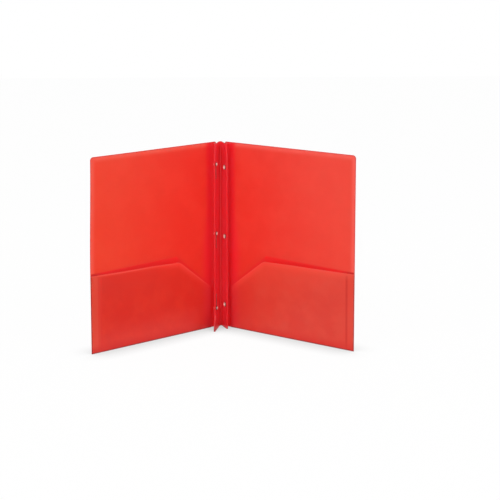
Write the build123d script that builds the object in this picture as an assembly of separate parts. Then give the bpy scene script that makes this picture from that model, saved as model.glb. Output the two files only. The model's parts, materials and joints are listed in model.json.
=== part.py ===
"""Open two-pocket folder with a fastener gutter, standing on its lower edges.

Each side is drawn on the right and mirrored for the left. The middle of the gutter floor is the origin while the
pieces are drawn: X to the right, Y away from the reader, Z up from the lower edge. Sizes are in millimetres and
degrees.
"""

import os
from math import cos, radians, sin

from build123d import *

# Sheet and covers
SHEET = 0.5                  # thickness of the plastic sheet
COVER_WIDTH = 238.0          # crease beside the fin to the outer edge
COVER_HEIGHT = 292.0
CORNER_RADIUS = 5.0          # upper outer corner of each cover
COVER_ANGLE = 50.5           # cover heading, from straight forward
HINGE_CLEARANCE = 0.1        # round a crease bead

# Spine: a narrow strip and two fins, with the gutter between them
SPINE_WIDTH = 17.5           # between the two cover creases
GUTTER_FLOOR = 3.0           # between the two gutter creases
GUTTER_SETBACK = 3.5         # gutter creases behind the cover creases
GUTTER_ANGLE = 36.2          # between the two gutter walls
FIN_DEPTH = 22.8             # gutter crease to crest
CREST_RADIUS = 0.75          # inside the folded crest
CLAMP_LENGTH = 11.6          # crest to the knee, where the fin's walls lie parallel
KNEE_RADIUS = 3.0            # middle of the sheet at the knee

# Pockets
POCKET_HEIGHT = 115.0
POCKET_SIDE_HEIGHT = 65.0    # spine side of the pocket, below the slant
POCKET_SETBACK = 10.0        # crease to the spine side of the pocket
POCKET_SLANT = 67.0          # width of the slanted part
POCKET_ROUND = 5.0           # corners of the slant
POCKET_GAPE = 6.4            # stand-off of the lip at the top of the slant
POCKET_SIDE_GAPE = 2.8       # stand-off of the lip's line, carried on to the crease
POCKET_SPARE = 1.1           # sheet drawn past the lip, as a share of the pocket, before it is cut
POCKET_SLIP = 0.1            # room beside the flap
FOLD_HEIGHT = 1.4            # bottom fold of the pocket
FLAP_WIDTH = 15.0            # glued flap at the outer edge

# Punched holes
HOLE_PITCH = 107.95
EYELET_INSET = 7.0           # crest to eyelet centre
RIVET_INSET = 4.0            # crest to rivet centre
HOLE_CLEARANCE = 0.1         # sheet hole round a barrel

# Eyelets on the back fin
EYELET_BORE_RADIUS = 2.15
EYELET_WALL = 0.35
EYELET_HEAD_RADIUS = 3.75
EYELET_CLINCH_RADIUS = 3.6

# Rivets and tangs on the front fin
RIVET_BORE_RADIUS = 1.1
RIVET_WALL = 0.4
RIVET_HEAD_RADIUS = 2.9
RIVET_CLINCH_RADIUS = 2.6
RIVET_OFFSET = 5.0           # hole level to rivet
FLANGE = 0.5                 # thickness of heads and clinches
FLANGE_BEVEL = 0.15
TANG_WIDTH = 2.8
TANG_LENGTH = 18.0
TANG_THICKNESS = 0.35
TANG_LIFT = 0.1              # tang above the gutter wall
ROOT_RADIUS = 3.3

BEAD_RADIUS = SHEET
SOCKET_RADIUS = BEAD_RADIUS + HINGE_CLEARANCE
CREST_OUTER = CREST_RADIUS + SHEET
FIN_THICKNESS = 2 * CREST_OUTER
POCKET_GAP = SHEET + POCKET_SLIP
FLAP_BEND = SHEET + POCKET_SLIP / 2
POCKET_END = COVER_WIDTH - FLAP_BEND
UPRIGHT = (Align.CENTER, Align.CENTER, Align.MIN)
LEVELS = {"top": 1, "middle": 0, "bottom": -1}


def heading(angle):
    """Level direction on the right side, measured from straight forward."""
    return Vector(sin(radians(angle)), -cos(radians(angle)), 0)


def facing(angle):
    """Level direction a quarter turn outward from the heading."""
    return Vector(cos(radians(angle)), sin(radians(angle)), 0)


WALL = heading(GUTTER_ANGLE / 2)
WALL_OUT = facing(GUTTER_ANGLE / 2)
GUTTER_CREASE = Vector(GUTTER_FLOOR / 2, 0, 0)
COVER_CREASE = Vector(SPINE_WIDTH / 2, -GUTTER_SETBACK, 0)
COVER_FRAME = Plane(origin=COVER_CREASE, x_dir=heading(COVER_ANGLE), z_dir=(0, 0, 1))


def left(shape):
    return mirror(shape, about=Plane.YZ)


def post(radius, height):
    return Cylinder(radius, height, align=UPRIGHT)


def spine():
    """Floor of the gutter, with a round bead along each crease."""
    strip = Pos(0, SHEET / 2) * Rectangle(GUTTER_FLOOR, SHEET)
    bead = Pos(*GUTTER_CREASE) * post(BEAD_RADIUS, COVER_HEIGHT)
    return extrude(strip, amount=COVER_HEIGHT) + bead + left(bead)


def on_wall(distance, depth=0):
    """Point at a distance from the gutter crease along the wall, and at a depth behind its gutter side."""
    return GUTTER_CREASE + WALL * distance + WALL_OUT * depth


def fin():
    """Sheet from the gutter crease over the crest, back to the knee and on to the cover crease."""
    half = SHEET / 2
    bend = CREST_RADIUS + half
    centre = on_wall(FIN_DEPTH - CREST_OUTER, CREST_OUTER)
    knee = on_wall(FIN_DEPTH - CLAMP_LENGTH, FIN_THICKNESS)
    tail = (COVER_CREASE - knee).normalized()
    inward = Vector(-tail.Y, tail.X, 0)
    miter = (inward - WALL_OUT) * (half / (1 - WALL_OUT.dot(inward)))
    inner_wall = Line(on_wall(0, half), centre - WALL_OUT * bend)
    crest = ThreePointArc(centre - WALL_OUT * bend, centre + WALL * bend, centre + WALL_OUT * bend)
    corners = [centre + WALL_OUT * bend, knee + miter, COVER_CREASE + inward * half]
    outer_wall = FilletPolyline(*corners, radius=KNEE_RADIUS)
    sheet = extrude(trace(inner_wall + crest + outer_wall, SHEET), amount=COVER_HEIGHT)
    for crease in (GUTTER_CREASE, COVER_CREASE):
        sheet -= Pos(*crease) * post(SOCKET_RADIUS, COVER_HEIGHT)
    return sheet


def cover():
    """Flat panel with a round bead along its crease, stepped up over the pocket fold."""
    top = COVER_HEIGHT - CORNER_RADIUS
    outline = make_face(
        [
            Polyline((0, COVER_HEIGHT), (0, 0), (POCKET_SETBACK, 0), (POCKET_SETBACK, FOLD_HEIGHT)),
            Polyline((POCKET_SETBACK, FOLD_HEIGHT), (COVER_WIDTH, FOLD_HEIGHT), (COVER_WIDTH, top)),
            RadiusArc((COVER_WIDTH, top), (COVER_WIDTH - CORNER_RADIUS, COVER_HEIGHT), -CORNER_RADIUS),
            Line((COVER_WIDTH - CORNER_RADIUS, COVER_HEIGHT), (0, COVER_HEIGHT)),
        ]
    )
    panel = extrude(Plane.XZ * outline, amount=-SHEET)
    return panel + post(BEAD_RADIUS, COVER_HEIGHT)


def pocket_fold():
    """Channel under the cover and the pocket, rounded where the sheet turns."""
    depth = 2 * SHEET + POCKET_GAP
    middle = -POCKET_GAP / 2
    length = COVER_WIDTH - POCKET_SETBACK
    section = Pos(middle, FOLD_HEIGHT / 2) * Rectangle(depth, FOLD_HEIGHT)
    section = fillet(section.vertices().group_by(Axis.Y)[0], SHEET)
    section -= Pos(middle, FOLD_HEIGHT) * Rectangle(POCKET_GAP, 2 * (FOLD_HEIGHT - SHEET))
    end = Plane(origin=(POCKET_SETBACK, 0, 0), x_dir=(0, 1, 0), z_dir=(1, 0, 0))
    return extrude(end * section, amount=length)


def lip_section(level, gape):
    """Level cut through the pocket sheet, bowed away from the cover by a share of the lip's gape."""
    corner = POCKET_SETBACK + POCKET_SLANT
    faces = []
    for base in (-POCKET_GAP, -POCKET_GAP - SHEET):
        start = (0, base - gape * POCKET_SIDE_GAPE)
        crown = (corner, base - gape * POCKET_GAPE)
        end = (POCKET_END, base)
        faces.append(ThreePointArc(start, crown, end) if gape else Line(start, end))
    near, far = faces
    return Pos(0, 0, level) * make_face([near, Line(near @ 1, far @ 1), far, Line(far @ 0, near @ 0)])


def pocket():
    """Bowed panel, cut to its lip, its slanted corner and its open spine side."""
    rise = POCKET_HEIGHT - FOLD_HEIGHT
    spare_top = FOLD_HEIGHT + POCKET_SPARE * rise
    sheet = loft([lip_section(FOLD_HEIGHT, 0), lip_section(spare_top, POCKET_SPARE)], ruled=True)
    beyond = 2 * COVER_WIDTH
    slant = [(POCKET_SETBACK, POCKET_SIDE_HEIGHT), (POCKET_SETBACK + POCKET_SLANT, POCKET_HEIGHT)]
    outer = [(beyond, POCKET_HEIGHT), (beyond, -FOLD_HEIGHT), (POCKET_SETBACK, -FOLD_HEIGHT)]
    outline = make_face(Polyline(*slant, *outer, close=True))
    turns = [outline.vertices().sort_by_distance(Vector(*point))[0] for point in slant]
    outline = fillet(turns, POCKET_ROUND)
    reach = 2 * (POCKET_GAP + SHEET + POCKET_GAPE)
    return sheet & extrude(Plane.XZ * outline, amount=reach, both=True)


def pocket_flap():
    """Strip glued to the cover and turned back on itself to meet the pocket."""
    height = POCKET_HEIGHT - FOLD_HEIGHT
    strip = Pos(POCKET_END - FLAP_WIDTH / 2, -SHEET / 2) * Rectangle(FLAP_WIDTH, SHEET)
    bend = Circle(FLAP_BEND) - Circle(FLAP_BEND - SHEET)
    bend &= Pos(FLAP_BEND / 2, 0) * Rectangle(FLAP_BEND, 2 * FLAP_BEND)
    section = strip + Pos(POCKET_END, -FLAP_BEND) * bend
    return Pos(0, 0, FOLD_HEIGHT) * extrude(section, amount=height)


def hollow_rivet(bore, wall, head, clinch, lift):
    """Tube through the fin with a flange at each end, its head lifted clear of the gutter wall."""
    foot = -FIN_THICKNESS - FLANGE
    top = lift + FLANGE
    body = Pos(0, 0, -FIN_THICKNESS) * post(bore + wall, FIN_THICKNESS + lift)
    body += Pos(0, 0, lift) * post(head, FLANGE)
    body += Pos(0, 0, foot) * post(clinch, FLANGE)
    body -= Pos(0, 0, foot) * post(bore, top - foot)
    rims = body.edges().filter_by(GeomType.CIRCLE).group_by(Axis.Z)
    return chamfer(rims[0] + rims[-1], FLANGE_BEVEL)


def tang_root(turn):
    """Flat end of a tang: a ring under the rivet and a neck to the bend."""
    bend_gap = TANG_THICKNESS / 2 + HINGE_CLEARANCE
    neck = RIVET_OFFSET - bend_gap
    rivet_spot = Pos(0, RIVET_OFFSET)
    shape = rivet_spot * Circle(ROOT_RADIUS) + Pos(0, bend_gap + neck / 2) * Rectangle(TANG_WIDTH, neck)
    shape -= rivet_spot * Circle(RIVET_BORE_RADIUS + RIVET_WALL + HOLE_CLEARANCE)
    plate = extrude(shape, amount=TANG_THICKNESS)
    return Rot(0, 0, turn) * plate


def tang(turn):
    """Strip with a round nose on its bend line and a round tip."""
    half = TANG_WIDTH / 2
    straight = TANG_LENGTH - half
    shape = Pos(0, -straight / 2) * Rectangle(TANG_WIDTH, straight) + Pos(0, -straight) * Circle(half)
    nose = Rot(0, 90, 0) * Cylinder(TANG_THICKNESS / 2, TANG_WIDTH)
    strip = Pos(0, 0, -TANG_THICKNESS / 2) * extrude(shape, amount=TANG_THICKNESS) + nose
    return Pos(0, 0, TANG_LIFT + TANG_THICKNESS / 2) * Rot(0, 0, turn) * strip


def hole_frame(side, level, inset):
    """Frame on a gutter wall at a hole: Y up, Z into the gutter; side is 1 on the right, -1 on the left."""
    spot = on_wall(FIN_DEPTH - inset)
    origin = (side * spot.X, spot.Y, COVER_HEIGHT / 2 + level * HOLE_PITCH)
    return Plane(origin=origin, x_dir=(WALL.X, side * WALL.Y, 0), z_dir=(-side * WALL_OUT.X, -WALL_OUT.Y, 0))


def drill(shape, place, radius):
    return shape - place * (Pos(0, 0, -2 * FIN_THICKNESS) * post(radius, 3 * FIN_THICKNESS))


pieces = {"spine": spine()}
back_fin = fin()
front_fin = left(back_fin)

for name, level in LEVELS.items():
    back_hole = hole_frame(1, level, EYELET_INSET)
    front_hole = hole_frame(-1, level, RIVET_INSET)
    turn = 180 if name == "bottom" else 0
    rivet_spot = front_hole * Rot(0, 0, turn) * Pos(0, RIVET_OFFSET, 0)
    back_fin = drill(back_fin, back_hole, EYELET_BORE_RADIUS + EYELET_WALL + HOLE_CLEARANCE)
    front_fin = drill(front_fin, rivet_spot, RIVET_BORE_RADIUS + RIVET_WALL + HOLE_CLEARANCE)
    pieces["eyelet_" + name] = back_hole * hollow_rivet(
        EYELET_BORE_RADIUS, EYELET_WALL, EYELET_HEAD_RADIUS, EYELET_CLINCH_RADIUS, 0
    )
    pieces["rivet_" + name] = rivet_spot * hollow_rivet(
        RIVET_BORE_RADIUS, RIVET_WALL, RIVET_HEAD_RADIUS, RIVET_CLINCH_RADIUS, TANG_THICKNESS
    )
    pieces["tang_root_" + name] = front_hole * tang_root(turn)
    pieces["tang_" + name] = front_hole * tang(turn)

pieces["front_fin"] = front_fin
pieces["back_fin"] = back_fin
for panel in (cover, pocket, pocket_fold, pocket_flap):
    right_panel = COVER_FRAME * panel()
    pieces["back_" + panel.__name__] = right_panel
    pieces["front_" + panel.__name__] = left(right_panel)

boxes = [shape.bounding_box() for shape in pieces.values()]
CENTRING = -(min(box.min.Y for box in boxes) + max(box.max.Y for box in boxes)) / 2
os.makedirs("parts", exist_ok=True)
for name, shape in pieces.items():
    export_step(Pos(0, CENTRING, 0) * shape, "parts/" + name + ".step")
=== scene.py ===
import json
from math import atan2, cos, degrees, pi, radians, sin, sqrt, tan

import bmesh
import bpy
from mathutils import Matrix, Vector


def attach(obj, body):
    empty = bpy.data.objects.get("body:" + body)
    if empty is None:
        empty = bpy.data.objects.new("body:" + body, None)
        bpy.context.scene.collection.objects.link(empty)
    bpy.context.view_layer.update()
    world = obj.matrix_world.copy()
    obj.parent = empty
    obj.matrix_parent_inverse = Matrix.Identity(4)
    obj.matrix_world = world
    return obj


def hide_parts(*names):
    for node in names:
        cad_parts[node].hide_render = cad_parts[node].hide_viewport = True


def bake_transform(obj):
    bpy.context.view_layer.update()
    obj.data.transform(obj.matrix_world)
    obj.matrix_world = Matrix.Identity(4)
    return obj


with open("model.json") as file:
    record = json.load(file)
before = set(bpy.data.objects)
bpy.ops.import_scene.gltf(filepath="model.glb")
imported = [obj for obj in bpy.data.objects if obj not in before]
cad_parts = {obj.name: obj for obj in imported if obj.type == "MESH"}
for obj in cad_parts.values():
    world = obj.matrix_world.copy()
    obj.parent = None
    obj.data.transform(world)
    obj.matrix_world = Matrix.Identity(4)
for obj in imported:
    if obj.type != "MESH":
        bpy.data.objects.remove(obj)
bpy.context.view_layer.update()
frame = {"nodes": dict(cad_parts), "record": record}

MM = 0.001

# Sizes of the folder in millimetres and degrees, as in the CAD model
SHEET = 0.5
COVER_WIDTH = 238.0
COVER_HEIGHT = 292.0
CORNER_RADIUS = 5.0
COVER_ANGLE = 50.5
GUTTER_ANGLE = 36.2
FIN_DEPTH = 22.8
CREST_RADIUS = 0.75
CLAMP_LENGTH = 11.6
KNEE_RADIUS = 3.0
POCKET_HEIGHT = 115.0
POCKET_SIDE_HEIGHT = 65.0
POCKET_SETBACK = 10.0
POCKET_SLANT = 67.0
POCKET_ROUND = 5.0
POCKET_GAPE = 6.4
POCKET_SIDE_GAPE = 2.8
POCKET_GAP = 0.6
FOLD_HEIGHT = 1.4
FLAP_BEND = 0.55
HOLE_PITCH = 107.95
EYELET_INSET = 7.0
RIVET_INSET = 4.0
EYELET_BORE = 2.15
EYELET_HEAD = 3.75
EYELET_CLINCH = 3.6
EYELET_HOLE = 2.6
RIVET_BORE = 1.1
RIVET_HEAD = 2.9
RIVET_CLINCH = 2.6
RIVET_HOLE = 1.6
RIVET_OFFSET = 5.0
BARREL_WALL = 0.35
TANG_WIDTH = 2.8
TANG_LENGTH = 18.0
TANG_THICKNESS = 0.35
TANG_LIFT = 0.1
ROOT_RADIUS = 3.3
HINGE_CLEARANCE = 0.1

# How the thin sheet lies in use, and the bands of colour on it, most of them painted light and shade, in
# millimetres
CREASE_RADIUS = 0.6          # cover crease
FLOOR_ROUND = 2.0            # corners of the gutter floor
SEAM = 10.1                  # crest to the line on the fin's far wall where two pieces of sheet meet
END_SPREAD = 0.9             # the fold opens at its free upper end, above the fasteners
SPREAD_LENGTH = 24.0         # height of the opened end
FANG = 16.0                  # the front fin's lower end stands forward
FANG_HEIGHT = 24.0           # height of that end, and of the painted shade at the foot of both fins
FANG_ANGLE = 4.0             # degrees from straight forward
FRONT_LEAN = 4.5             # the front cover's upper corner leans in
LEAN_FROM = 120.0            # above this height
FIN_SLACK = 0.08             # the fin's walls lie this much closer than their room
FRONT_FOOT = 0.7             # share of the painted shade at the front fin's lower end
BACK_FOOT = 0.35             # and at the back fin's
RIDGE = 1.3                  # depth of the painted highlight along a crest
FOLD_FROM = 12.0             # cover crease to where the painted shade of the fold zone starts to give way to the open colour
FOLD_FADE = 8.0              # length of that change
FOLD_WIDEN = 12.0            # it is longer by up to this much, down to the pockets' tops
WIDEN_BELOW = 200.0          # below this height
NOOK_FADE = 14.0             # cover crease to where the painted light in the crease fades out
MOUTH_BAND = 9.2             # painted shade: deeper red on the cover behind a pocket's lip, at the slant's top
MOUTH_SLANT = 6.0            # the same at the slant's foot
MOUTH_FADE = 30.0            # length of its darker painted outer end
FRONT_LIP_RISE = 1.6         # the front pocket's lip lifts towards its outer end
BACK_LIP_RISE = 1.1          # and the back pocket's
LIP_RISE_LENGTH = 60.0       # from the slant's top to its full lift
GLEAM_LENGTH = 60.0          # painted highlight: paler sheet below the slant, out to this far along the lip
INNER_FADE = 24.0            # painted shade: crimson beside a pocket's spine side
POCKET_FOOT = 16.0           # deeper red above a pocket's bottom fold
HEAD_CROWN = 1.6             # height of the rolled heads in the gutter
CLINCH_CROWN = 0.8           # and of the clinched ends behind
SHADOW_REACH = 44.0          # painted soft shadow on the floor round the lower edges
JOIN_FADE = 2.5              # to each side of the floor's middle line, where two pieces of sheet meet
CUT_EDGE = 1.0               # depth of the dull line along a cut edge
BEND_ROOM = 0.001            # keeps the two bends of a crest from meeting
HEAD_RIM = 0.15              # share of a rolled head's height that its rim has
TANG_CROWN = 0.1             # height of a tang's crown across its width
TIP_WIDTH = 0.02             # least half width of a tang's mesh at its tip

# Mesh steps
ROWS = 72                    # over the height of a cover
ARC_STEPS = 8                # round a bend or a rolled head
COVER_STEPS = 44             # over the width of a cover
CORNER_STEPS = 10            # over the width of a cover's round corner
SLANT_STEPS = 24             # along a pocket's slant
LIP_STEPS = 80               # along a pocket's lip
POCKET_ROWS = 36             # over the height of a pocket
RING_STEPS = 40              # round a rivet or an eyelet
PUNCH_STEPS = 32             # round a punched hole
ROOT_STEPS = 36              # round a tang's flat end
TANG_ROWS = 26               # along a tang
TANG_COLUMNS = 8             # over the width of a tang
TIP_CROWDING = 1.6           # rows lie closer towards a tang's tip
PUNCH_LENGTH = 4.0           # of the tool that cuts a hole, in thicknesses of a fin
SLIVER = 0.002               # in millimetres; shorter edges are dropped round the punched holes
SHEET_SHARP = 40.0           # degrees; corners above this stay sharp in the shading
RING_SHARP = 60.0
PLATE_SHARP = 30.0

# Looks: widths in millimetres, shares from 0 to 1, noise scales per metre
COVER_CLOUDS = 28.0
POCKET_CLOUDS = 36.0
FOLD_CLOUDS = 60.0
CLOUD_LOW = 0.35             # noise levels between which the clouds show
CLOUD_HIGH = 0.68
CLOUD_DETAIL = 3.0
CLOUD_ROUGHNESS = 0.55
GRAIN_SCALE = 1300.0
GRAIN_DETAIL = 2.0
GRAIN_STRENGTH = 0.12
GRAIN_DEPTH = 0.00006        # in metres
SATIN_LOW = 0.36             # roughness of the sheet
SATIN_HIGH = 0.5
PLASTIC_IOR = 1.49
GLOW_RADIUS = (1.0, 0.35, 0.3)  # how far red, green and blue light spreads in the sheet
GLOW_DEPTH = 0.0012          # in metres
FAR_FROM = 0.1               # share of the cover's width where it starts to get paler with painted sheen
FAR_SHARE = 0.4              # of the paler colour of painted sheen at its outer edge
RIM_FROM = 2.5               # pale band of painted edge light inside a cover's free edges
RIM_TO = 9.5
RIM_SHARE = 0.75
CUT_FADE = 0.4               # softness of the dull line along a cut edge
MOUTH_CORE = 0.6             # share of the painted shade band behind a lip that has its full colour
UPPER_SHARE = 0.8            # upper half of a pocket
INNER_SHARE = 0.8            # painted shade on the sheet below a pocket's slant
WELD_SHARE = 0.25            # change of colour at a pocket's weld line
STEP_SHARE = 0.55            # and at the edge of the flap behind
STEP_FADE = 1.0              # to each side of these lines
WELD_CORE = 0.2              # half width of the weld's darkest line
POCKET_RIM_SHARE = 0.7       # painted edge light in a band inside a pocket's lip
GLEAM_FOOT = 0.3             # the painted highlight below a slant at the slant's foot
GLEAM_SHARE = 0.8            # and at the slant's top
LIP_FROM = 0.8               # painted highlight: pale line along a pocket's lip
LIP_TO = 2.6
LIP_SHARE = 0.9
FOOT_SHARE = 0.9             # deeper red above a pocket's bottom fold
CRIMSON_SHARE = 0.9          # painted shade beside a pocket's spine side
DRAWN_ACROSS = 2400.0        # drawing lines in the metal
DRAWN_ALONG = 300.0
DRAWN_DETAIL = 3.0
POLISH_LOW = 0.28            # roughness of the metal
POLISH_HIGH = 0.46
RIM_SHADE_FROM = 0.05          # painted shade and dark reflection inside the metal's rims
RIM_SHADE_TO = 0.35
METALLIC = 0.65

# Studio: in metres, watts and shares of white, unless it says otherwise
FLOOR_SIZE = 4.0             # half the width of the floor
FLOOR_GREY = (0.9, 0.9, 0.9, 1.0)
FLOOR_ROUGHNESS = 0.9
FLOOR_WHITE = 0.97           # share of the white backing in what the camera sees of the floor
SHADOW_SAMPLES = 12
SHADOW_WHITE = 0.5           # white left in the deepest part of the painted soft shadow
WORLD_LIGHT = 0.6            # of the world on the folder
WHITE = (1, 1, 1, 1)
LAMP_TARGET = Vector((0, 0, 0.15))  # middle of the folder
LAMP_SIZE = 1.4
KEY_SPOT = (-1.3, -1.5, 1.9)
KEY_POWER = 24.0
FILL_SPOT = (1.5, -1.2, 1.5)
FILL_POWER = 14.0
SENSOR_WIDTH = 36.0          # in millimetres
LENS = 109.3                 # in millimetres
CAMERA_SHIFT = -0.14
CAMERA_SPOT = Vector((-48.0, -2309.0, 621.0))  # in millimetres from the foot of the cover creases
CAMERA_TILT = 9.56           # degrees below level
CAMERA_TURN = -2.32          # degrees

hinges = {joint["name"]: Vector(joint["pos_m"]) / MM for joint in frame["record"]["behaviour"]["joints"]}
CREASE_Y = hinges["back_cover_crease"].y
SPINE_HALF = hinges["back_cover_crease"].x
GUTTER_CREASE = Vector((hinges["back_gutter_crease"].x, hinges["back_gutter_crease"].y - CREASE_Y))
HALF_SHEET = SHEET / 2
CREST_OUTER = CREST_RADIUS + SHEET
FIN_THICKNESS = 2 * CREST_OUTER
FIN_BACK = FIN_THICKNESS - FIN_SLACK
POCKET_END = COVER_WIDTH - FLAP_BEND
POCKET_CORNER = POCKET_SETBACK + POCKET_SLANT
SLANT_RISE = (POCKET_HEIGHT - POCKET_SIDE_HEIGHT) / POCKET_SLANT
LEVELS = {"top": 1, "middle": 0, "bottom": -1}
SIDES = {"front": -1, "back": 1}


def heading(angle):
    """Level direction on the right side, measured from straight forward."""
    return Vector((sin(radians(angle)), -cos(radians(angle))))


def facing(angle):
    """Level direction a quarter turn outward from the heading."""
    return Vector((cos(radians(angle)), sin(radians(angle))))


WALL, WALL_OUT = heading(GUTTER_ANGLE / 2), facing(GUTTER_ANGLE / 2)
COVER, COVER_OUT = heading(COVER_ANGLE), facing(COVER_ANGLE)
CREASE = Vector((SPINE_HALF, 0))


def on_wall(distance, depth=0.0):
    """Level point along the gutter wall from its crease, at a depth behind its gutter side."""
    return GUTTER_CREASE + WALL * distance + WALL_OUT * depth


def place(flat, z, side):
    """Point in metres from a level point on the right side; side -1 mirrors it to the left."""
    return Vector((side * flat.x, flat.y + CREASE_Y, z)) * MM


def smooth(value):
    """Smooth step from 0 to 1, level outside that range."""
    value = max(0.0, min(1.0, value))
    return value * value * (3 - 2 * value)


def miter(first, second):
    """Shift from a corner of a sheet's face to the corner of its middle."""
    return (first + second) * (HALF_SHEET / (1 + first.dot(second)))


# Mesh helpers


def new_piece(name, mesh, material, sharp=SHEET_SHARP):
    """Object with smooth shading up to an angle, in one material."""
    for polygon in mesh.polygons:
        polygon.use_smooth = True
    mesh.set_sharp_from_angle(angle=radians(sharp))
    mesh.materials.append(material)
    piece = bpy.data.objects.new(name, mesh)
    bpy.context.collection.objects.link(piece)
    return piece


def mesh_from(bm, name):
    """Mesh with its faces turned outward."""
    bmesh.ops.recalc_face_normals(bm, faces=bm.faces)
    mesh = bpy.data.meshes.new(name)
    bm.to_mesh(mesh)
    bm.free()
    return mesh


def slab(name, near, far):
    """Closed sheet between two grids of points with the same rows and columns."""
    bm = bmesh.new()
    grids = [[[bm.verts.new(point) for point in row] for row in grid] for grid in (near, far)]
    rows, columns = len(near), len(near[0])
    for grid in grids:
        for r in range(rows - 1):
            for c in range(columns - 1):
                bm.faces.new((grid[r][c], grid[r][c + 1], grid[r + 1][c + 1], grid[r + 1][c]))
    rim = [(r, 0) for r in range(rows)] + [(rows - 1, c) for c in range(1, columns)]
    rim += [(r, columns - 1) for r in range(rows - 2, -1, -1)] + [(0, c) for c in range(columns - 2, 0, -1)]
    for (r0, c0), (r1, c1) in zip(rim, rim[1:] + rim[:1]):
        bm.faces.new((grids[0][r0][c0], grids[0][r1][c1], grids[1][r1][c1], grids[1][r0][c0]))
    return mesh_from(bm, name)


def rounded(corners, radii):
    """Points along a bent line whose inner corners are arcs of the given radii."""
    points = [corners[0]]
    for before, corner, after, radius in zip(corners, corners[1:], corners[2:], radii):
        a, b = (before - corner).normalized(), (after - corner).normalized()
        half = a.angle(b) / 2
        centre = corner + (a + b).normalized() * (radius / sin(half))
        start = corner + a * (radius / tan(half)) - centre
        end = corner + b * (radius / tan(half)) - centre
        spread = pi - 2 * half
        for i in range(ARC_STEPS + 1):
            t = i / ARC_STEPS
            points.append(centre + (start * sin((1 - t) * spread) + end * sin(t * spread)) / sin(spread))
    return points + [corners[-1]]


def thick_path(points, side, z):
    """Both faces of a sheet whose middle follows a level line."""
    faces = [[], []]
    for i, point in enumerate(points):
        run = points[min(i + 1, len(points) - 1)] - points[max(i - 1, 0)]
        normal = Vector((-run.y, run.x)).normalized() * HALF_SHEET
        faces[0].append(place(point + normal, z, side))
        faces[1].append(place(point - normal, z, side))
    return faces


def heights(low, high):
    """Mesh levels from one edge to the other, with a level just inside each edge."""
    inner = [low + (high - low) * row / ROWS for row in range(1, ROWS)]
    return [low, low + CUT_EDGE] + inner + [high - CUT_EDGE, high]


def mark(mesh, name, measure, first=0):
    """Stores a measure of each point from the first on, given in millimetres, for the materials."""
    attribute = mesh.attributes.new(name, "FLOAT", "POINT")
    for vertex in mesh.vertices[first:]:
        attribute.data[vertex.index].value = measure(*(vertex.co / MM))


# Materials


def linear(value):
    """Share of light from a 0 to 255 value, by the standard curve of screens."""
    share = value / 255
    if share <= 0.04045:
        return share / 12.92
    return ((share + 0.055) / 1.055) ** 2.4


def rgb(red, green, blue):
    """Linear colour from the usual 0 to 255 values."""
    return [linear(red), linear(green), linear(blue), 1.0]


def add_node(tree, kind, settings=None, **inputs):
    """Shader node whose inputs are values or links, named with _ for a space."""
    node = tree.nodes.new(kind)
    for key, value in (settings or {}).items():
        setattr(node, key, value)
    for key, value in inputs.items():
        socket = node.inputs[key.replace("_", " ")]
        if isinstance(value, bpy.types.NodeSocket):
            tree.links.new(value, socket)
        else:
            socket.default_value = value
    return node


def mix_colour(tree, factor, a, b):
    """Mix of two colours; they are sockets 6 and 7 of the node, and their mix is its output 2."""
    node = tree.nodes.new("ShaderNodeMix")
    node.data_type = "RGBA"
    for index, value in ((0, factor), (6, a), (7, b)):
        if isinstance(value, bpy.types.NodeSocket):
            tree.links.new(value, node.inputs[index])
        else:
            node.inputs[index].default_value = value
    return node.outputs[2]


def ramp(tree, value, start, end, low=0.0, high=1.0):
    """Smooth step from low at start to high at end."""
    return add_node(
        tree, "ShaderNodeMapRange", {"interpolation_type": "SMOOTHSTEP"},
        Value=value, From_Min=start, From_Max=end, To_Min=low, To_Max=high,
    ).outputs["Result"]


def compute(tree, operation, *values):
    """Sum or other operation on values or links."""
    node = tree.nodes.new("ShaderNodeMath")
    node.operation = operation
    for socket, value in zip(node.inputs, values):
        if isinstance(value, bpy.types.NodeSocket):
            tree.links.new(value, socket)
        else:
            socket.default_value = value
    return node.outputs[0]


def attribute(tree, name):
    """Measure that mark() stored on the mesh, or 0 where it has none."""
    return add_node(tree, "ShaderNodeAttribute", {"attribute_name": name}).outputs["Fac"]


def new_material(name):
    material = bpy.data.materials.new(name)
    material.use_nodes = True
    tree = material.node_tree
    return material, tree, tree.nodes["Principled BSDF"]


def finish_sheet(tree, shader, colour, where):
    """Satin translucent plastic with a fine grain, in a given colour."""
    tree.links.new(colour, shader.inputs["Base Color"])
    noise = add_node(tree, "ShaderNodeTexNoise", Vector=where, Scale=GRAIN_SCALE, Detail=GRAIN_DETAIL)
    grain = noise.outputs["Fac"]
    gloss = add_node(tree, "ShaderNodeMapRange", Value=grain, To_Min=SATIN_LOW, To_Max=SATIN_HIGH)
    tree.links.new(gloss.outputs["Result"], shader.inputs["Roughness"])
    bump = add_node(tree, "ShaderNodeBump", Height=grain, Strength=GRAIN_STRENGTH, Distance=GRAIN_DEPTH)
    tree.links.new(bump.outputs["Normal"], shader.inputs["Normal"])
    shader.inputs["IOR"].default_value = PLASTIC_IOR
    shader.inputs["Subsurface Weight"].default_value = 1.0
    shader.inputs["Subsurface Radius"].default_value = GLOW_RADIUS
    shader.inputs["Subsurface Scale"].default_value = GLOW_DEPTH


def cloudy(tree, where, scale, deep, body):
    """Body colour with faint darker clouds."""
    clouds = add_node(
        tree, "ShaderNodeTexNoise", Vector=where,
        Scale=scale, Detail=CLOUD_DETAIL, Roughness=CLOUD_ROUGHNESS,
    )
    return mix_colour(tree, ramp(tree, clouds.outputs["Fac"], CLOUD_LOW, CLOUD_HIGH), deep, body)


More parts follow.
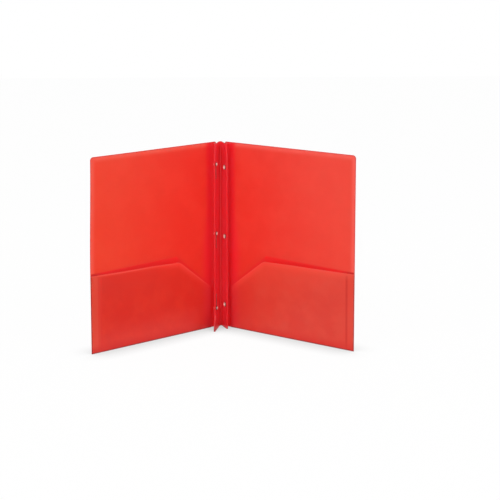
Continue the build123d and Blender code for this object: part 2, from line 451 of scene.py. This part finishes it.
def pocket_mouth(tree, reach, height, mouth_end):
    """Band of painted shade on a cover just above the line of the pocket's lip, widest at the slant's top,
    and full below that line.
    """
    rise = compute(tree, "MULTIPLY_ADD", reach, SLANT_RISE, POCKET_SIDE_HEIGHT - SLANT_RISE * POCKET_SETBACK)
    above = compute(tree, "SUBTRACT", height, compute(tree, "MINIMUM", rise, POCKET_HEIGHT))
    slant = ramp(tree, reach, POCKET_SETBACK, POCKET_CORNER, MOUTH_SLANT, MOUTH_BAND)
    taper = add_node(
        tree, "ShaderNodeMapRange", Value=reach,
        From_Min=POCKET_CORNER, From_Max=COVER_WIDTH, To_Min=0.0, To_Max=MOUTH_BAND - mouth_end,
    )
    band = compute(tree, "SUBTRACT", slant, taper.outputs["Result"])
    return ramp(tree, compute(tree, "DIVIDE", above, band), MOUTH_CORE, 1.0, 1.0, 0.0)


def cover_material(
    name, mouth_end, body, deep, far, rim, crest, ridge, nook, valley, seam, mouth_shade, slant, end, foot, cut
):
    """Sheet of the covers and fins: paler towards its free edges with painted sheen and edge light, deeper
    red with painted shade in the fold zone and behind the pockets' lips, and painted light in its crease and
    gutter floor.
    """
    material, tree, shader = new_material(name)
    where = add_node(tree, "ShaderNodeTexCoord").outputs["Object"]
    edge, reach = attribute(tree, "edge"), attribute(tree, "reach")
    colour = cloudy(tree, where, COVER_CLOUDS, deep, body)
    # Painted sheen: paler towards the outer edge
    outer = ramp(tree, reach, FAR_FROM * COVER_WIDTH, COVER_WIDTH, 0.0, FAR_SHARE)
    colour = mix_colour(tree, outer, colour, far)
    # Painted edge light: pale band inside the free edges
    colour = mix_colour(tree, ramp(tree, edge, RIM_FROM, RIM_TO, RIM_SHARE, 0.0), colour, rim)
    height = attribute(tree, "height")
    # Painted shade behind the pocket's lip, with its own colours along the slant and at the outer end
    shade = mix_colour(tree, ramp(tree, reach, POCKET_CORNER - MOUTH_SLANT, POCKET_CORNER), slant, mouth_shade)
    shade = mix_colour(tree, ramp(tree, reach, COVER_WIDTH - MOUTH_FADE, COVER_WIDTH), shade, end)
    colour = mix_colour(tree, pocket_mouth(tree, reach, height, mouth_end), colour, shade)
    # Fold zone: deeper crimson as painted shade, with painted light in the crease (nook) and on the gutter
    # floor (valley)
    fold_shading = mix_colour(tree, attribute(tree, "nook"), crest, nook)
    fold_shading = mix_colour(tree, attribute(tree, "valley"), fold_shading, valley)
    # Painted highlight along the crests
    fold_shading = mix_colour(tree, attribute(tree, "ridge"), fold_shading, ridge)
    # Painted shade at the fins' feet
    fold_shading = mix_colour(tree, attribute(tree, "foot"), fold_shading, foot)
    fold_shading = mix_colour(tree, attribute(tree, "join"), fold_shading, seam)
    colour = mix_colour(tree, attribute(tree, "fold"), colour, fold_shading)
    line = ramp(tree, edge, CUT_EDGE * (1 - CUT_FADE), CUT_EDGE * (1 + CUT_FADE), 1.0, 0.0)
    colour = mix_colour(tree, line, colour, cut)
    finish_sheet(tree, shader, colour, where)
    glow = compute(tree, "SUBTRACT", 1.0, attribute(tree, "join"))
    tree.links.new(glow, shader.inputs["Subsurface Weight"])
    return material


def pocket_material(
    name, weld_line, weld_width, step_line, rim_width, gleam_width,
    body, deep, upper, inner, crimson, strip, rim, gleam, lip, weld, foot
):
    """Sheet of a pocket: mottled where it touches the cover behind, with a weld line near its outer edge,
    painted light along its lip and slant, and painted shade towards its spine side.
    """
    material, tree, shader = new_material(name)
    where = add_node(tree, "ShaderNodeTexCoord").outputs["Object"]
    edge, reach, height = (attribute(tree, key) for key in ("edge", "reach", "height"))
    colour = cloudy(tree, where, POCKET_CLOUDS, deep, body)
    high = ramp(tree, height, POCKET_HEIGHT / 2, POCKET_HEIGHT, 0.0, UPPER_SHARE)
    colour = mix_colour(tree, high, colour, upper)
    # Painted shade: deeper red below the slant, towards the spine side
    below_slant = ramp(tree, reach, POCKET_SETBACK, POCKET_CORNER, INNER_SHARE, 0.0)
    colour = mix_colour(tree, below_slant, colour, inner)
    for line, share in ((weld_line, WELD_SHARE), (step_line, STEP_SHARE)):
        past = ramp(tree, reach, line - STEP_FADE, line + STEP_FADE, 0.0, share)
        colour = mix_colour(tree, past, colour, strip)
    before = ramp(tree, reach, weld_line - weld_width, weld_line - WELD_CORE)
    after = ramp(tree, reach, weld_line + WELD_CORE, weld_line + weld_width, 1.0, 0.0)
    colour = mix_colour(tree, compute(tree, "MULTIPLY", before, after), colour, weld)
    # Painted edge light: band inside the lip
    colour = mix_colour(tree, ramp(tree, edge, 0.0, rim_width, POCKET_RIM_SHARE, 0.0), colour, rim)
    # Painted highlight: paler sheet below the slant
    along = compute(
        tree, "MULTIPLY", ramp(tree, reach, POCKET_SETBACK, POCKET_CORNER, GLEAM_FOOT, 1.0),
        ramp(tree, reach, POCKET_CORNER, POCKET_CORNER + GLEAM_LENGTH, 1.0, 0.0),
    )
    pale = compute(tree, "MULTIPLY", along, ramp(tree, edge, 0.0, gleam_width, GLEAM_SHARE, 0.0))
    colour = mix_colour(tree, pale, colour, gleam)
    # Painted highlight: pale line along the lip
    colour = mix_colour(tree, ramp(tree, edge, LIP_FROM, LIP_TO, LIP_SHARE, 0.0), colour, lip)
    colour = mix_colour(tree, ramp(tree, height, 0.0, POCKET_FOOT, FOOT_SHARE, 0.0), colour, foot)
    # Painted shade: crimson beside the spine side
    beside = ramp(tree, reach, POCKET_SETBACK, POCKET_SETBACK + INNER_FADE, CRIMSON_SHARE, 0.0)
    colour = mix_colour(tree, beside, colour, crimson)
    finish_sheet(tree, shader, colour, where)
    return material


def fold_material(name, body, deep):
    """Sheet at the pockets' folds and flaps."""
    material, tree, shader = new_material(name)
    where = add_node(tree, "ShaderNodeTexCoord").outputs["Object"]
    finish_sheet(tree, shader, cloudy(tree, where, FOLD_CLOUDS, deep, body), where)
    return material


def metal_material(name, light, dark, rim_shade):
    """Nickel plate with fine drawing lines, with painted shade and dark reflection along its rims."""
    material, tree, shader = new_material(name)
    where = add_node(tree, "ShaderNodeTexCoord").outputs["Object"]
    drawn = (DRAWN_ACROSS, DRAWN_ACROSS, DRAWN_ALONG)
    streaks = add_node(tree, "ShaderNodeMapping", Vector=where, Scale=drawn).outputs["Vector"]
    noise = add_node(tree, "ShaderNodeTexNoise", Vector=streaks, Scale=1.0, Detail=DRAWN_DETAIL)
    lines = noise.outputs["Fac"]
    colour = mix_colour(tree, lines, dark, light)
    # Painted shade and dark reflection along the rims
    rim = ramp(tree, attribute(tree, "edge"), RIM_SHADE_FROM, RIM_SHADE_TO, 1.0, 0.0)
    colour = mix_colour(tree, rim, colour, rim_shade)
    tree.links.new(colour, shader.inputs["Base Color"])
    gloss = add_node(tree, "ShaderNodeMapRange", Value=lines, To_Min=POLISH_LOW, To_Max=POLISH_HIGH)
    tree.links.new(gloss.outputs["Result"], shader.inputs["Roughness"])
    shader.inputs["Metallic"].default_value = METALLIC
    return material


# Reds of the fold zone and the pockets' mouths: crest, foot, mouth, slant and end are painted shade, nook and
# valley painted light, ridge a painted highlight; cut is the dull line along a cut edge
shading_and_cut_reds = {
    "crest": rgb(241, 36, 52), "ridge": rgb(246, 44, 52), "nook": rgb(242, 78, 86),
    "valley": rgb(250, 68, 80), "seam": rgb(246, 34, 42), "mouth_shade": rgb(250, 40, 40),
    "slant": rgb(236, 42, 40), "end": rgb(204, 32, 28), "foot": rgb(124, 22, 30), "cut": rgb(206, 56, 48),
}
# For the covers, far is a painted sheen and rim is painted edge light
front_red = cover_material(
    "front_red", mouth_end=5.6, body=rgb(237, 59, 42), deep=rgb(233, 52, 36), far=rgb(241, 86, 45),
    rim=rgb(246, 104, 86), **shading_and_cut_reds
)
back_red = cover_material(
    "back_red", mouth_end=4.2, body=rgb(235, 63, 47), deep=rgb(231, 56, 41), far=rgb(238, 94, 73),
    rim=rgb(244, 106, 94), **shading_and_cut_reds
)
# For the pockets, rim is painted edge light, gleam and lip painted highlights, inner and crimson painted
# shade
front_pocket_red = pocket_material(
    "front_pocket_red", weld_line=221.0, weld_width=2.4, step_line=226.5, rim_width=5.0, gleam_width=12.0,
    body=rgb(238, 56, 38), deep=rgb(232, 48, 34), upper=rgb(226, 50, 35), inner=rgb(233, 45, 38),
    crimson=rgb(242, 48, 60), strip=rgb(244, 88, 66), rim=rgb(236, 78, 58), gleam=rgb(252, 76, 64),
    lip=rgb(250, 88, 76), weld=rgb(236, 52, 40), foot=rgb(222, 36, 26)
)
back_pocket_red = pocket_material(
    "back_pocket_red", weld_line=225.6, weld_width=3.2, step_line=226.2, rim_width=12.0, gleam_width=8.0,
    body=rgb(238, 77, 58), deep=rgb(234, 68, 51), upper=rgb(240, 76, 58), inner=rgb(229, 54, 44),
    crimson=rgb(242, 48, 60), strip=rgb(240, 76, 56), rim=rgb(250, 88, 67), gleam=rgb(252, 76, 66),
    lip=rgb(250, 92, 80), weld=rgb(224, 50, 38), foot=rgb(228, 54, 42)
)
fold_red = fold_material("fold_red", rgb(180, 42, 34), rgb(160, 34, 27))
# Nickel of the rivets and eyelets: a warm pale metal whose pink tint is partly a painted reflection of the
# red sheet; the last colour is the painted shade at its rims
nickel = metal_material("nickel", rgb(255, 228, 217), rgb(244, 208, 198), rgb(84, 36, 30))
# Nickel of the tangs and their plates, reddened and darkened by a painted reflection of the shaded red walls;
# the last colour is the painted shade at its rims
nickel_with_painted_reflection = metal_material("nickel_with_painted_reflection", rgb(204, 146, 139), rgb(178, 116, 110), rgb(160, 100, 94))


# Gutter and covers


def lean(u, z):
    """How far the front cover stands out of flat, towards the reader."""
    return FRONT_LEAN * smooth(u / COVER_WIDTH) * smooth((z - LEAN_FROM) / (COVER_HEIGHT - LEAN_FROM))


def gutter_path(side, z):
    """Middle of the sheet from the middle of the gutter floor over the crest to the seam."""
    spread = END_SPREAD * smooth(1 - (COVER_HEIGHT - z) / SPREAD_LENGTH)
    fang = heading(FANG_ANGLE) * (FANG * smooth(1 - z / FANG_HEIGHT) if side < 0 else 0.0)
    tip = FIN_DEPTH - HALF_SHEET
    far = FIN_BACK - HALF_SHEET
    bend = (far - HALF_SHEET) / 2 + spread - BEND_ROOM
    corners = [
        Vector((0, GUTTER_CREASE.y + HALF_SHEET)),
        on_wall(0) + miter(Vector((0, 1)), WALL_OUT),
        on_wall(tip, HALF_SHEET - 2 * spread) + fang,
        on_wall(tip, far) + fang,
        on_wall(FIN_DEPTH - SEAM, far),
    ]
    return rounded(corners, [FLOOR_ROUND, bend, bend])


def wall_run(side, x, y):
    """Distance along the gutter wall from its crease."""
    return (Vector((side * x, y - CREASE_Y)) - GUTTER_CREASE).dot(WALL)


def cover_run(side, x, y):
    """Distance along the flat of the cover from its crease."""
    return (Vector((side * x, y - CREASE_Y)) - CREASE).dot(COVER)


def build_gutter(name, side, material, hole_radius, hole_spots):
    """Half of the gutter floor with a fin, punched for its fasteners."""
    levels = heights(0.0, COVER_HEIGHT)
    rows = [thick_path(gutter_path(side, z), side, z) for z in levels]
    near, far = ([row[face] for row in rows] for face in (0, 1))
    mesh = punch(slab(name, near, far), hole_spots, hole_radius)
    # Painted shade at the fin's lower end
    dark = FRONT_FOOT if side < 0 else BACK_FOOT

    def foot(x, y, z):
        return dark * smooth(1 - z / FANG_HEIGHT) * smooth(wall_run(side, x, y) / FIN_DEPTH)

    mark(mesh, "edge", lambda x, y, z: min(z, COVER_HEIGHT - z))
    mark(mesh, "foot", foot)
    # The whole gutter lies in the fold zone of painted shade; the valley mask lays painted light on its floor
    mark(mesh, "fold", lambda x, y, z: 1.0)
    mark(mesh, "valley", lambda x, y, z: 1 - smooth(wall_run(side, x, y) / FIN_DEPTH))
    # Painted highlight along the crest
    mark(mesh, "ridge", lambda x, y, z: smooth((wall_run(side, x, y) - FIN_DEPTH + RIDGE) / RIDGE))
    mark(mesh, "join", lambda x, y, z: 1 - smooth(abs(x) / JOIN_FADE))
    return new_piece(name, mesh, material)


def cover_edge(u, z):
    """Distance from the cover's free edges, round its corner."""
    along, up = u - (COVER_WIDTH - CORNER_RADIUS), z - (COVER_HEIGHT - CORNER_RADIUS)
    if along > 0 and up > 0:
        return CORNER_RADIUS - sqrt(along * along + up * up)
    return CORNER_RADIUS - max(along, up)


def build_cover(name, side, material):
    """Sheet from the seam on the fin round the crease to the cover's outer edge."""
    knee = on_wall(FIN_DEPTH - CLAMP_LENGTH, FIN_BACK)
    tail = (CREASE - knee).normalized()
    inward = Vector((-tail.y, tail.x))
    corners = [
        on_wall(FIN_DEPTH - SEAM, FIN_BACK - HALF_SHEET),
        knee + miter(-WALL_OUT, inward),
        CREASE + miter(inward, COVER_OUT),
        CREASE + COVER * POCKET_SETBACK + COVER_OUT * HALF_SHEET,
    ]
    bent = rounded(corners, [KNEE_RADIUS, CREASE_RADIUS])
    straight = COVER_WIDTH - CORNER_RADIUS
    run = straight - POCKET_SETBACK
    flats = [POCKET_SETBACK + run * i / COVER_STEPS for i in range(1, COVER_STEPS + 1)]
    flats += [straight + CORNER_RADIUS * sin(pi / 2 * i / CORNER_STEPS) for i in range(1, CORNER_STEPS + 1)]
    reach = [0.0] * len(bent) + flats
    points = bent + [CREASE + COVER * u + COVER_OUT * HALF_SHEET for u in flats]
    near, far = [], []
    for i, u in enumerate(reach):
        corner = max(0.0, u - straight)
        high = COVER_HEIGHT - CORNER_RADIUS + sqrt(max(0.0, CORNER_RADIUS**2 - corner**2))
        columns = [[], []]
        for z in heights(FOLD_HEIGHT if u else 0.0, high):
            offset = COVER_OUT * (-lean(u, z) if side < 0 else 0.0)
            shift = place(offset, 0, side) - place(Vector((0, 0)), 0, side)
            for column, face in zip(columns, thick_path(points[max(i - 1, 0):i + 2], side, z)):
                column.append(face[min(i, 1)] + shift)
        near.append(columns[0])
        far.append(columns[1])
    mesh = slab(name, near, far)
    inner_face = len(mesh.vertices) // 2

    # Mask of the fold zone's painted shade beside the crease
    def fold(x, y, z):
        fade = FOLD_FADE + FOLD_WIDEN * smooth((WIDEN_BELOW - z) / (WIDEN_BELOW - POCKET_HEIGHT))
        return 1 - smooth((cover_run(side, x, y) - FOLD_FROM) / fade)

    mark(mesh, "edge", lambda x, y, z: cover_edge(cover_run(side, x, y), z))
    mark(mesh, "reach", lambda x, y, z: cover_run(side, x, y))
    mark(mesh, "height", lambda x, y, z: z)
    mark(mesh, "fold", fold)
    # Painted light in the crease, on the inner face only
    mark(mesh, "nook", lambda x, y, z: 1 - smooth(cover_run(side, x, y) / NOOK_FADE), inner_face)
    return new_piece(name, mesh, material)


def hole_frame(side, level, inset):
    """Frame on a gutter wall at a hole, in metres: Y up, Z into the gutter."""
    origin = place(on_wall(FIN_DEPTH - inset), COVER_HEIGHT / 2 + level * HOLE_PITCH, side)
    across = Vector((WALL.x, side * WALL.y, 0))
    into = Vector((-side * WALL_OUT.x, -WALL_OUT.y, 0))
    matrix = Matrix((across, Vector((0, 0, 1)), into)).transposed().to_4x4()
    matrix.translation = origin
    return matrix


def tang_frame(name):
    """Hole frame on the front fin, turned so that the tang points along its own -Y."""
    turn = pi if name == "bottom" else 0.0
    return hole_frame(-1, LEVELS[name], RIVET_INSET) @ Matrix.Rotation(turn, 4, "Z")


def rivet_frame(name):
    """Tang frame moved to the middle of its rivet."""
    return tang_frame(name) @ Matrix.Translation((0, RIVET_OFFSET * MM, 0))


def punch(mesh, spots, radius):
    """Cuts round holes through both walls of a fin."""
    sheet = bpy.data.objects.new("sheet", mesh)
    bpy.context.collection.objects.link(sheet)
    tools = bmesh.new()
    middle = Matrix.Translation((0, 0, -FIN_THICKNESS / 2 * MM))
    for spot in spots:
        bmesh.ops.create_cone(
            tools, cap_ends=True, segments=PUNCH_STEPS, radius1=radius * MM, radius2=radius * MM,
            depth=PUNCH_LENGTH * FIN_THICKNESS * MM, matrix=spot @ middle,
        )
    tool = bpy.data.objects.new("punch", mesh_from(tools, "punch"))
    bpy.context.collection.objects.link(tool)
    cut = sheet.modifiers.new("holes", "BOOLEAN")
    cut.operation, cut.solver, cut.object = "DIFFERENCE", "EXACT", tool
    bpy.context.view_layer.update()
    result = bpy.data.meshes.new_from_object(sheet.evaluated_get(bpy.context.evaluated_depsgraph_get()))
    bpy.data.objects.remove(sheet)
    bpy.data.objects.remove(tool)
    bm = bmesh.new()
    bm.from_mesh(result)
    bmesh.ops.triangulate(bm, faces=[face for face in bm.faces if len(face.verts) > 4])
    bmesh.ops.dissolve_degenerate(bm, dist=SLIVER * MM, edges=bm.edges)
    bm.to_mesh(result)
    bm.free()
    return result


# Pockets


def lip_rise(u, side):
    """How far the lip has lifted at a distance from the crease."""
    rise = FRONT_LIP_RISE if side < 0 else BACK_LIP_RISE
    return rise * smooth((u - POCKET_CORNER) / LIP_RISE_LENGTH)


def lip_height(u, side):
    """Top of the pocket at a distance from the crease."""
    straight = POCKET_SIDE_HEIGHT + SLANT_RISE * (u - POCKET_SETBACK)
    soft = max(0.0, 1 - abs(u - POCKET_CORNER) / POCKET_ROUND)
    return min(straight, POCKET_HEIGHT) - SLANT_RISE * POCKET_ROUND / 4 * soft * soft + lip_rise(u, side)


def gape(u):
    """Room behind the lip's line: a parabola through the crease, the slant's top and the outer end."""
    chord = POCKET_SIDE_GAPE * (1 - u / POCKET_END)
    bulge = POCKET_GAPE - POCKET_SIDE_GAPE * (1 - POCKET_CORNER / POCKET_END)
    return chord + bulge * u * (POCKET_END - u) / (POCKET_CORNER * (POCKET_END - POCKET_CORNER))


def pocket_edge(u, z, side):
    """Distance from the pocket's lip and slant."""
    slant = (POCKET_SIDE_HEIGHT + SLANT_RISE * (u - POCKET_SETBACK) - z) / sqrt(1 + SLANT_RISE**2)
    return min(POCKET_HEIGHT + lip_rise(u, side) - z, slant)


def build_pocket(name, side, material):
    """Pocket sheet above its bottom fold, standing off the cover towards its lip."""
    flats = [POCKET_SETBACK + POCKET_SLANT * i / SLANT_STEPS for i in range(SLANT_STEPS + 1)]
    flats += [POCKET_CORNER + (POCKET_END - POCKET_CORNER) * i / LIP_STEPS for i in range(1, LIP_STEPS + 1)]
    near, far = [], []
    for u in flats:
        top = lip_height(u, side)
        columns = [[], []]
        for row in range(POCKET_ROWS + 1):
            z = FOLD_HEIGHT + (top - FOLD_HEIGHT) * row / POCKET_ROWS
            lift = POCKET_GAP + gape(u) * (z - FOLD_HEIGHT) / (POCKET_HEIGHT - FOLD_HEIGHT)
            for column, offset in zip(columns, (0, SHEET)):
                column.append(place(CREASE + COVER * u - COVER_OUT * (lift + offset), z, side))
        near.append(columns[0])
        far.append(columns[1])
    mesh = slab(name, near, far)
    mark(mesh, "edge", lambda x, y, z: pocket_edge(cover_run(side, x, y), z, side))
    mark(mesh, "reach", lambda x, y, z: cover_run(side, x, y))
    mark(mesh, "height", lambda x, y, z: z)
    return new_piece(name, mesh, material)


# Fasteners


def lathe(name, profile, matrix, rim):
    """Ring turned from a closed outline of (radius, height) points in millimetres, its rim marked for painted
    shade.
    """
    bm = bmesh.new()
    rings = []
    for i in range(RING_STEPS):
        angle = 2 * pi * i / RING_STEPS
        rings.append([bm.verts.new((r * cos(angle) * MM, r * sin(angle) * MM, k * MM)) for r, k in profile])
    for ring, following in zip(rings, rings[1:] + rings[:1]):
        for j in range(len(profile)):
            n = (j + 1) % len(profile)
            bm.faces.new((ring[j], ring[n], following[n], following[j]))
    mesh = mesh_from(bm, name)
    mark(mesh, "edge", lambda x, y, z: rim - sqrt(x * x + y * y))
    mesh.transform(matrix)
    return new_piece(name, mesh, nickel, RING_SHARP)


def hollow_rivet(name, matrix, bore, head, clinch, lift):
    """Tube with a rolled head in the gutter and a rolled clinch on the cover side of the fin."""
    foot = -FIN_BACK
    barrel = bore + BARREL_WALL
    profile = []
    for outer, level, crown in ((head, lift, HEAD_CROWN), (clinch, foot, -CLINCH_CROWN)):
        middle, spread = (bore + outer) / 2, (outer - bore) / 2
        roll = []
        for i in range(ARC_STEPS + 1):
            angle = pi * i / ARC_STEPS
            height = level + crown * (HEAD_RIM + (1 - HEAD_RIM) * sin(angle))
            roll.append((middle - spread * cos(angle), height))
        roll += [(outer, level), (barrel, level)]
        profile += roll if crown > 0 else roll[::-1]
    return lathe(name, profile, matrix, head)


def plate(name, outline, hole, rim, thickness, matrix):
    """Flat metal piece from an outline with a hole, its rim marked for painted shade."""
    bm = bmesh.new()
    edges = []
    for loop in (outline, hole):
        verts = [bm.verts.new((x * MM, y * MM, 0)) for x, y in loop]
        edges += [bm.edges.new(pair) for pair in zip(verts, verts[1:] + verts[:1])]
    bmesh.ops.triangle_fill(bm, use_beauty=True, edges=edges)
    above = {vert: bm.verts.new((vert.co.x, vert.co.y, thickness * MM)) for vert in list(bm.verts)}
    for face in list(bm.faces):
        bm.faces.new([above[vert] for vert in face.verts])
    for first, second in [edge.verts for edge in edges]:
        bm.faces.new((first, second, above[second], above[first]))
    mesh = mesh_from(bm, name)
    mark(mesh, "edge", lambda x, y, z: rim - sqrt(x * x + y * y))
    mesh.transform(matrix)
    return new_piece(name, mesh, nickel_with_painted_reflection, PLATE_SHARP)


def arc(radius, start, end, steps):
    """Points on an arc about the origin; angles in degrees."""
    angles = (radians(start + (end - start) * i / steps) for i in range(steps + 1))
    return [(radius * cos(angle), radius * sin(angle)) for angle in angles]


def build_root(name, matrix):
    """Flat end of a tang: a ring under the rivet and a neck to the bend."""
    half = TANG_WIDTH / 2
    bend = TANG_THICKNESS / 2 + HINGE_CLEARANCE - RIVET_OFFSET
    start = degrees(atan2(-sqrt(ROOT_RADIUS**2 - half**2), half))
    outline = [(-half, bend), (half, bend)] + arc(ROOT_RADIUS, start, 180 - start, ROOT_STEPS)
    hole = arc(RIVET_HOLE, 0, 360 - 360 / ROOT_STEPS, ROOT_STEPS - 1)
    return plate(name, outline, hole, ROOT_RADIUS, TANG_THICKNESS, matrix)


def build_tang(name, matrix):
    """Thin strip, slightly crowned across its width, from its bend line to a round tip."""
    half = TANG_WIDTH / 2
    near, far = [], []
    for row in range(TANG_ROWS + 1):
        y = -TANG_LENGTH * (1 - (1 - row / TANG_ROWS) ** TIP_CROWDING)
        room = min(half, TANG_LENGTH + y)
        width = max(TIP_WIDTH, sqrt(max(0.0, half**2 - (half - room) ** 2)))
        line = [[], []]
        for column in range(TANG_COLUMNS + 1):
            x = width * (2 * column / TANG_COLUMNS - 1)
            crown = TANG_CROWN * (1 - (x / half) ** 2)
            top = TANG_LIFT + TANG_THICKNESS - TANG_CROWN + crown
            line[0].append(Vector((x, y, TANG_LIFT + crown / 2)) * MM)
            line[1].append(Vector((x, y, top)) * MM)
        near.append(line[0])
        far.append(line[1])
    mesh = slab(name, near, far)
    mark(mesh, "edge", lambda x, y, z: min(half - abs(x), TANG_LENGTH + y))
    mesh.transform(matrix)
    return new_piece(name, mesh, nickel_with_painted_reflection)


# Pieces on their bodies


def build_sheets():
    """Gutter, cover and pocket of each side, and the colour of the CAD pieces that still show."""
    spots = {
        "front": (RIVET_HOLE, [rivet_frame(level) for level in LEVELS]),
        "back": (EYELET_HOLE, [hole_frame(1, level, EYELET_INSET) for level in LEVELS.values()]),
    }
    reds = {"front": (front_red, front_pocket_red), "back": (back_red, back_pocket_red)}
    for name, side in SIDES.items():
        cover_red, pocket_red = reds[name]
        gutter = build_gutter(name + "_gutter_sheet", side, cover_red, *spots[name])
        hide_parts(name + "_fin", "spine")
        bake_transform(gutter)
        cover = build_cover(name + "_cover_sheet", side, cover_red)
        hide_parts(name + "_cover")
        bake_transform(cover)
        pocket = build_pocket(name + "_pocket_sheet", side, pocket_red)
        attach(pocket, name + "_cover")
        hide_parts(name + "_pocket")
        for node in ("_pocket_fold", "_pocket_flap"):
            materials = frame["nodes"][name + node].data.materials
            materials.clear()
            materials.append(fold_red)


def build_fasteners():
    """Eyelet, rivet and tang of each level."""
    for name, level in LEVELS.items():
        hole = hole_frame(1, level, EYELET_INSET)
        eyelet = hollow_rivet("eyelet_ring_" + name, hole, EYELET_BORE, EYELET_HEAD, EYELET_CLINCH, 0)
        spot = rivet_frame(name)
        rivet = hollow_rivet("rivet_ring_" + name, spot, RIVET_BORE, RIVET_HEAD, RIVET_CLINCH, TANG_THICKNESS)
        root = build_root("tang_plate_" + name, spot)
        strip = build_tang("tang_strip_" + name, tang_frame(name))
        for piece, body, node in (
            (eyelet, "back_fin", "eyelet_"), (rivet, "front_fin", "rivet_"),
            (root, "front_fin", "tang_root_"), (strip, "tang_" + name, "tang_"),
        ):
            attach(piece, body)
            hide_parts(node + name)


build_sheets()
build_fasteners()


# Floor, light and camera


def white_backing(tree, strength):
    """Strength for what the camera sees directly, in gloss or through the sheet, and 0 for other rays."""
    path = add_node(tree, "ShaderNodeLightPath")
    seen = path.outputs["Is Camera Ray"]
    for other in ("Is Glossy Ray", "Is Transmission Ray"):
        seen = compute(tree, "MAXIMUM", seen, path.outputs[other])
    return compute(tree, "MULTIPLY", seen, strength)


def build_floor():
    """Pale floor that keeps a soft shadow under the folder, painted into its white glow by how near the
    folder is, over the faint real shadow of its small lit share.
    """
    bm = bmesh.new()
    bmesh.ops.create_grid(bm, x_segments=1, y_segments=1, size=FLOOR_SIZE)
    floor = bpy.data.objects.new("floor", mesh_from(bm, "floor"))
    bpy.context.collection.objects.link(floor)
    material, tree, shader = new_material("floor_white")
    shader.inputs["Base Color"].default_value = FLOOR_GREY
    shader.inputs["Roughness"].default_value = FLOOR_ROUGHNESS
    # Painted shadow: the floor's glow dims where the folder is near
    near = add_node(
        tree, "ShaderNodeAmbientOcclusion", {"samples": SHADOW_SAMPLES}, Distance=SHADOW_REACH * MM
    )
    shadow = add_node(tree, "ShaderNodeMapRange", Value=near.outputs["AO"], To_Min=SHADOW_WHITE, To_Max=1.0)
    glow = add_node(tree, "ShaderNodeEmission", Color=WHITE, Strength=shadow.outputs["Result"])
    mixed = add_node(tree, "ShaderNodeMixShader")
    tree.links.new(white_backing(tree, FLOOR_WHITE), mixed.inputs[0])
    tree.links.new(shader.outputs[0], mixed.inputs[1])
    tree.links.new(glow.outputs[0], mixed.inputs[2])
    tree.links.new(mixed.outputs[0], tree.nodes["Material Output"].inputs["Surface"])
    floor.data.materials.append(material)


def build_world():
    """Even light on the folder, seen as plain white."""
    world = bpy.data.worlds.new("studio")
    bpy.context.scene.world = world
    world.use_nodes = True
    tree = world.node_tree
    background = tree.nodes["Background"]
    background.inputs["Color"].default_value = WHITE
    seen = white_backing(tree, 1.0)
    level = add_node(tree, "ShaderNodeMapRange", Value=seen, To_Min=WORLD_LIGHT, To_Max=1.0)
    tree.links.new(level.outputs["Result"], background.inputs["Strength"])


def add_lamp(name, spot, power):
    """Soft square lamp turned to the folder."""
    light = bpy.data.lights.new(name, "AREA")
    light.size, light.energy = LAMP_SIZE, power
    lamp = bpy.data.objects.new(name, light)
    lamp.location = spot
    lamp.rotation_euler = (LAMP_TARGET - Vector(spot)).to_track_quat("-Z", "Y").to_euler()
    bpy.context.collection.objects.link(lamp)


def build_camera():
    """Camera at the photograph's viewing angle."""
    camera = bpy.data.cameras.new("camera")
    camera.sensor_width = SENSOR_WIDTH
    camera.lens = LENS
    camera.shift_y = CAMERA_SHIFT
    holder = bpy.data.objects.new("camera", camera)
    holder.location = (CAMERA_SPOT + Vector((0, CREASE_Y, 0))) * MM
    holder.rotation_euler = (radians(90 - CAMERA_TILT), 0, radians(CAMERA_TURN))
    bpy.context.collection.objects.link(holder)
    bpy.context.scene.camera = holder


build_floor()
build_world()
add_lamp("key", KEY_SPOT, KEY_POWER)
add_lamp("fill", FILL_SPOT, FILL_POWER)
build_camera()
bpy.context.scene.view_settings.view_transform = "Standard"
